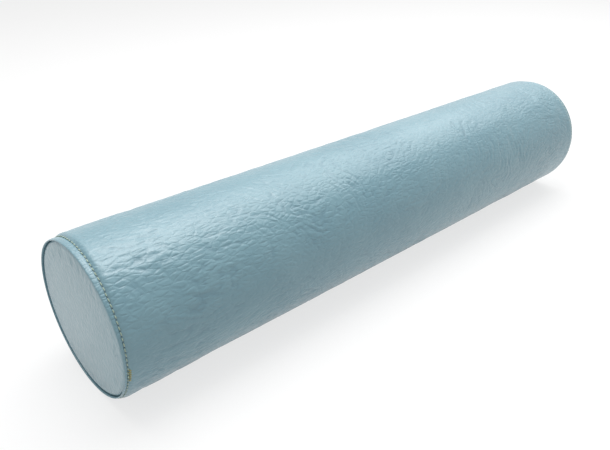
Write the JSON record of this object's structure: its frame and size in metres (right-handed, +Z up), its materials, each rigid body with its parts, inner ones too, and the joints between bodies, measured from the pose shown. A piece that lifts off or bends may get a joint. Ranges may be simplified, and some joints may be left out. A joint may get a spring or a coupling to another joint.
{
  "type": "foam roller",
  "caption": "Cylindrical foam bolster roller in a zipped vinyl cover with top-stitched end panels and a flattened underside.",
  "frame": {"origin": "bottom centre of the roller, on the plane it rests on", "axes": "+X along the roller towards its right end, +Y towards the back where the zip is, +Z up"},
  "size_m": [0.7, 0.15, 0.1485],
  "materials": {
    "vinyl": "semi-gloss vinyl with a crushed grain",
    "panel_vinyl": "satin vinyl with fine creases",
    "foam": "open-cell foam",
    "thread": "cream sewing thread",
    "tack_thread": "dull yellow sewing thread",
    "zip_tape": "woven tape",
    "zip_coil": "nylon coil",
    "zip_metal": "nickel plated zinc"
  },
  "bodies": {
    "roll": {"foam_core": "foam", "cover_sleeve": "vinyl", "end_panel_left": "panel_vinyl", "end_panel_right": "panel_vinyl", "rim_stitch_left": "thread", "rim_stitch_right": "thread", "seam_thread_left": "thread", "seam_thread_right": "thread", "bar_tack_left": "tack_thread", "bar_tack_right": "tack_thread", "zip_tape_upper": "zip_tape", "zip_tape_lower": "zip_tape", "zip_coil_upper": "zip_coil", "zip_coil_lower": "zip_coil", "zip_top_stop_upper": "zip_metal", "zip_top_stop_lower": "zip_metal", "zip_bottom_stop": "zip_metal", "zip_stitch_upper": "thread", "zip_stitch_lower": "thread", "zip_end_tack_left": "tack_thread", "zip_end_tack_right": "tack_thread"},
    "slider": {"zip_slider": "zip_metal"},
    "pull": {"zip_pull": "zip_metal"}
  },
  "joints": [
    {"name": "zip_slide", "type": "slide", "parent": "roll", "child": "slider", "axis": [1, 0, 0], "range_m": [-0.553, 0]},
    {"name": "pull_swing", "type": "hinge", "parent": "slider", "child": "pull", "pos_m": [0.278, 0.07126, 0.10523], "axis": [0, 0.4067, -0.9135], "range_deg": [0, 180]}
  ]
}
